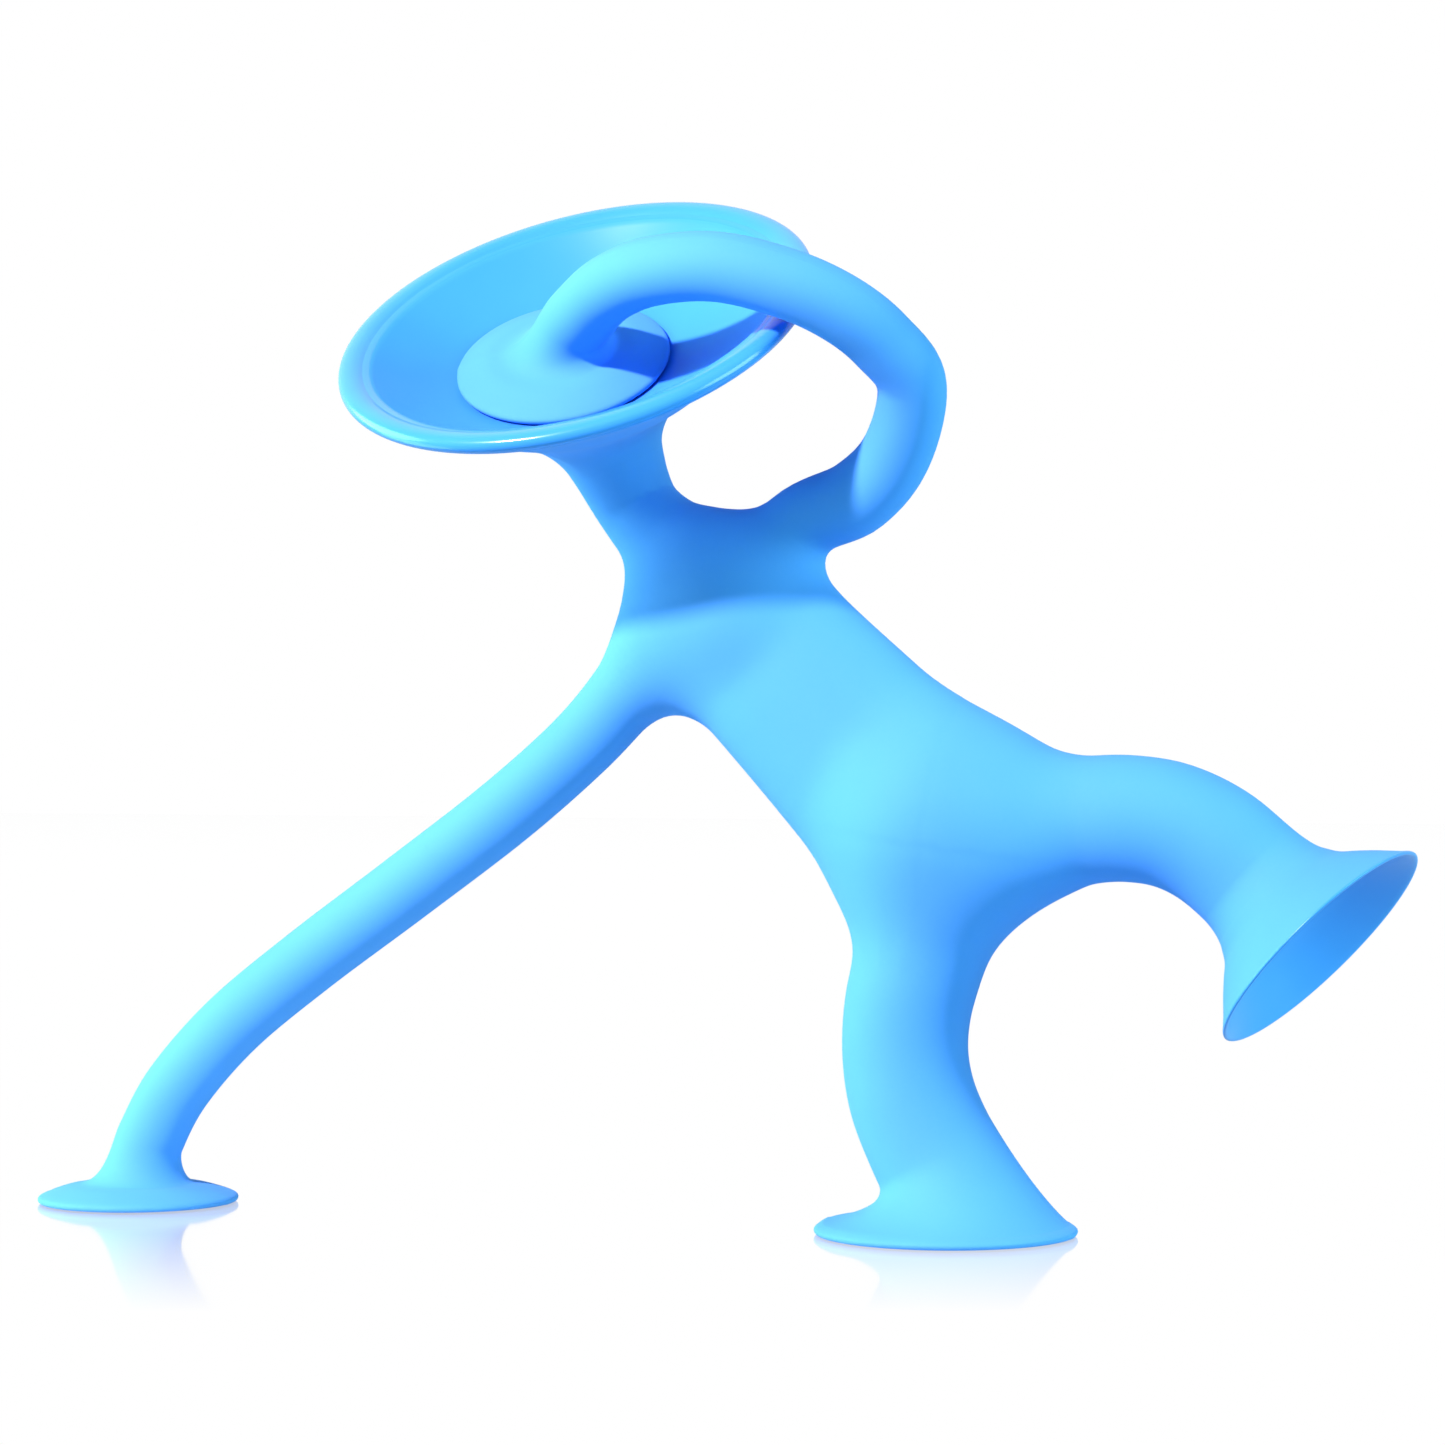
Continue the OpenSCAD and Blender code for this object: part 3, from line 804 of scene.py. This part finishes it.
# The raised hand's rim is spread a little further, and droops to close most of the gap to the bowl.
RIM_DROOP = 0.45
DROOP_FROM_R = 14
DROOP_FULL_R = 19
rim_share = np.clip((HAND_PROFILE[:, 0] - DROOP_FROM_R) / (DROOP_FULL_R - DROOP_FROM_R), 0, 1)
grip_profile = np.column_stack([
    HAND_PROFILE[:, 0] * GRIP_HAND_R / HAND_R,
    HAND_PROFILE[:, 1] - RIM_DROOP * rim_share,
])
TWISTED_SEAM = (59,)
build_limb("raised", GRIP_CENTRE, GRIP_AXIS, grip_across, grip_profile, HAND_INNER,
           hand_flare(GRIP_AXIS, GRIP_CENTRE), TWISTED_SEAM)

STANDING_PROFILE = eased([
    (22.3, 2.1), (23.3, 1.55), (23.85, 1.1), (24, 0.7), (23.8, 0.25), (23.4, 0.0),
    (22.3, 0.0), (21.5, 0.15), (17, 1.0), (10, 1.9), (0.3, 2.4),
])
STANDING_INNER = 6 * PER_STRETCH


def standing_flare(ring):
    """Flat on the side that the leg leans from, and a straight cone on the other."""
    out = spokes(ring, np.zeros(3), UP)
    right = ((1 + out[:, 0]) / 2)[:, None]
    drop = 0.12 + 0.83 * right**1.5
    return unit(out - drop * UP), (0.9, 1.35 - 0.45 * right)


build_limb("standing", np.zeros(3), UP, SIDEWAYS, STANDING_PROFILE, STANDING_INNER, standing_flare,
           IN_PLANE_SEAMS)

KICK_PROFILE = eased([
    (12.7, 12.2), (14.3, 9.6), (16.6, 7.4), (19.0, 5.0), (21.1, 2.7), (22.8, 1.0), (23.3, 0.5),
    (23.4, 0.15), (23.0, -0.05), (22.3, 0.3), (20.9, 1.6), (18.0, 4.4), (15, 7.0), (11, 9.2),
    (6, 10.6), (0.3, 11),
])
KICK_INNER = 6 * PER_STRETCH


def kick_flare(ring):
    out = spokes(ring, KICK_CENTRE, KICK_AXIS)
    return unit(out * 0.55 - KICK_AXIS), (1.0, 0.8)


kick_across = unit(np.cross([0, 1.0, 0], KICK_AXIS))
build_limb("kicking", KICK_CENTRE, KICK_AXIS, kick_across, KICK_PROFILE, KICK_INNER, kick_flare,
           IN_PLANE_SEAMS)

# ---- The head cup: the neck flares into the bowl's underside, then the rolled lip and the bowl ----
HEAD_COLUMNS = 160
BOWL_ROWS = 40
BOWL_EDGE_SHARE = 0.965
BOWL_MIDDLE_TURN = 0.004
NECK_STEP = 0.2
mouth_turn = math.asin(BOWL_MOUTH_R / BOWL_BALL_R)
ball_height = BOWL_BALL_R - BOWL_DEPTH
BOWL_PROFILE = eased([
    (25, -14.2), (30, -10.9), (35, -7.9), (40, -5.2), (43.0, -3.6), (44.4, -2.6), (HEAD_R, -1.6),
    (44.6, -0.6), (43.6, -0.02), (42.2, 0.05), (41, -0.3), (BOWL_MOUTH_R, -0.85),
])
bowl_curve = [
    (BOWL_BALL_R * math.sin(a), ball_height - BOWL_BALL_R * math.cos(a))
    for a in np.linspace(mouth_turn * BOWL_EDGE_SHARE, BOWL_MIDDLE_TURN, BOWL_ROWS)
]
LIP_START = 5 * PER_STRETCH
head_turns = np.linspace(0, 2 * math.pi, HEAD_COLUMNS, endpoint=False)
neck_end = CUTS["neck"][1]
neck_section = rings(ROUTES["neck"], [neck_end], head_turns)[0]
neck_ring, neck_way = on_skin(neck_section, heading(ROUTES["neck"], neck_end)[0])
neck_rows = np.array([neck_ring - NECK_STEP * neck_way, neck_ring])
bowl_turns = matched_turns(neck_ring, HEAD_AXIS, HEAD_X)
bowl_turns = bowl_turns[0] + np.sign(bowl_turns[1] - bowl_turns[0]) * head_turns
bowl_outline = np.vstack([BOWL_PROFILE, bowl_curve])
bowl_rows = lathe_rows(bowl_outline, HEAD_CENTRE, HEAD_AXIS, HEAD_X, bowl_turns)
bowl_way = unit(bowl_rows[1] - bowl_rows[0])
neck_flare = flare_rows(neck_ring, neck_way, bowl_rows[0], bowl_way, (0.9, 0.9), count=24)
head_rows = np.vstack([neck_rows, neck_flare, bowl_rows])
head_normals, head_order = grid_normals(head_rows)
lip_from = len(head_rows) - len(bowl_rows) + LIP_START
bowl_from = len(head_rows) - len(bowl_curve)


def head_piece(name, part, material, closed=False):
    return grid_piece(name, head_rows[part], head_normals[part], head_order, material, closed)


attach(head_piece("head_cup_skin", slice(1, lip_from + 1), matte), "head_cup")
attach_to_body(head_piece("head_cup_lip", slice(lip_from, bowl_from + 1), gloss), "head")
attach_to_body(head_piece("head_cup_bowl", slice(bowl_from, None), bowl_sheen, closed=True), "head")

# ---- Floor, light and camera ----
WHITE = (1, 1, 1, 1)
FLOOR_HALF = 3.0
FLOOR_Z = -0.0002
FLOOR_BOUNCE = (0.18, 0.60, 0.64, 1)
FLOOR_AHEAD = (-0.309, 0.951, 0)
floor_mesh = bpy.data.meshes.new("floor")
floor_corners = [(x * FLOOR_HALF, y * FLOOR_HALF, 0) for x, y in ((-1, -1), (1, -1), (1, 1), (-1, 1))]
floor_mesh.from_pydata(floor_corners, [], [(0, 1, 2, 3)])
floor = bpy.data.objects.new("floor", floor_mesh)
floor.location.z = FLOOR_Z
bpy.context.scene.collection.objects.link(floor)
# The floor is white to the camera and bounces a dimmer light. Its mirror fades out toward the camera.
floor_material = empty_material("floor")
floor_tree = floor_material.node_tree
floor_rays = add_node(floor_tree, "LightPath")
floor_bounce = add_node(floor_tree, "Mix", {"A": FLOOR_BOUNCE, "B": WHITE}, data_type="RGBA")
floor_white = add_node(floor_tree, "Emission")
floor_mirror = add_node(floor_tree, "BsdfGlossy", {"Color": WHITE, "Roughness": 0.07})
floor_place = add_node(floor_tree, "NewGeometry")
floor_ahead = add_node(floor_tree, "VectorMath", {1: FLOOR_AHEAD}, operation="DOT_PRODUCT")
floor_fade_ends = {"From Min": -0.095, "From Max": 0, "To Min": 0, "To Max": 0.5}
floor_fade = add_node(floor_tree, "MapRange", floor_fade_ends)
floor_mix = add_node(floor_tree, "MixShader")
floor_out = add_node(floor_tree, "OutputMaterial")
floor_link = floor_tree.links.new
floor_link(floor_rays.outputs["Is Camera Ray"], floor_bounce.inputs["Factor"])
floor_link(floor_bounce.outputs["Result"], floor_white.inputs["Color"])
floor_link(floor_place.outputs["Position"], floor_ahead.inputs[0])
floor_link(floor_ahead.outputs["Value"], floor_fade.inputs["Value"])
floor_link(floor_fade.outputs["Result"], floor_mix.inputs["Fac"])
floor_link(floor_white.outputs["Emission"], floor_mix.inputs[1])
floor_link(floor_mirror.outputs["BSDF"], floor_mix.inputs[2])
floor_link(floor_mix.outputs["Shader"], floor_out.inputs["Surface"])
floor_mesh.materials.append(floor_material)


def area_light(name, place, aim, size, power, tint=(1, 1, 1)):
    light = bpy.data.lights.new(name, "AREA")
    light.shape = "DISK"
    light.size = size
    light.energy = power
    light.color = tint
    lamp = bpy.data.objects.new(name, light)
    lamp.location = place
    lamp.rotation_euler = (Vector(aim) - Vector(place)).to_track_quat("-Z", "Y").to_euler()
    bpy.context.scene.collection.objects.link(lamp)
    return lamp


FIGURE_MIDDLE = (-0.03, 0, 0.10)
SIDE_TINT = (0.5, 1.0, 0.75)
SIDE_POWER = 13
KEY_WAY = Vector((0.379, 0.747, -0.545))
CHEST = Vector((-0.035, -0.01, 0.112))
KEY_POWER = 26.5
KEY_DISTANCE = 1.2
KEY_SIZE = 0.08
SIDE_SIZE = 0.8
area_light("key", CHEST - KEY_DISTANCE * KEY_WAY, CHEST, KEY_SIZE, KEY_POWER)
for side, x in (("left", -1.0), ("right", 1.0)):
    area_light("fill_" + side, (x, -0.15, 0.35), FIGURE_MIDDLE, SIDE_SIZE, SIDE_POWER, SIDE_TINT)

# The backdrop is white to the camera. In mirrors it is white behind the figure and dim before it,
# and it lights the figure as a dim sky.
SKY_DIM = (0.03, 0.13, 0.16, 1)
world = bpy.data.worlds.new("studio")
bpy.context.scene.world = world
world.use_nodes = True
sky_tree = world.node_tree
sky_link = sky_tree.links.new
sky = sky_tree.nodes["Background"]
sky_tint = add_node(sky_tree, "Mix", {"A": SKY_DIM, "B": WHITE}, data_type="RGBA")
sky_rays = add_node(sky_tree, "LightPath")
sky_way = add_node(sky_tree, "TexCoord")
sky_axes = add_node(sky_tree, "SeparateXYZ")
sky_mirror = add_node(sky_tree, "MapRange", {"From Min": -0.1, "From Max": 0.4, "To Min": 0.1})
sky_link(sky_way.outputs["Generated"], sky_axes.inputs["Vector"])
sky_link(sky_axes.outputs["Y"], sky_mirror.inputs["Value"])


def sky_math(operation, a, b):
    node = add_node(sky_tree, "Math", operation=operation)
    for socket, value in zip(node.inputs, (a, b)):
        if isinstance(value, (int, float)):
            socket.default_value = value
        else:
            sky_link(value, socket)
    return node.outputs[0]


in_mirror = sky_math("MULTIPLY", sky_rays.outputs["Is Glossy Ray"], sky_mirror.outputs["Result"])
seen = sky_math("MAXIMUM", in_mirror, sky_rays.outputs["Is Camera Ray"])
sky_link(seen, sky_tint.inputs["Factor"])
sky_link(sky_tint.outputs["Result"], sky.inputs["Color"])
bpy.context.scene.view_settings.view_transform = "Standard"

camera_data = bpy.data.cameras.new("camera")
camera_data.lens = 100
camera_data.sensor_width = 36
camera = bpy.data.objects.new("camera", camera_data)
camera.location = (0.187, -0.7068, 0.093)
camera.rotation_euler = (math.radians(90), 0, math.radians(18))
bpy.context.scene.collection.objects.link(camera)
bpy.context.scene.camera = camera
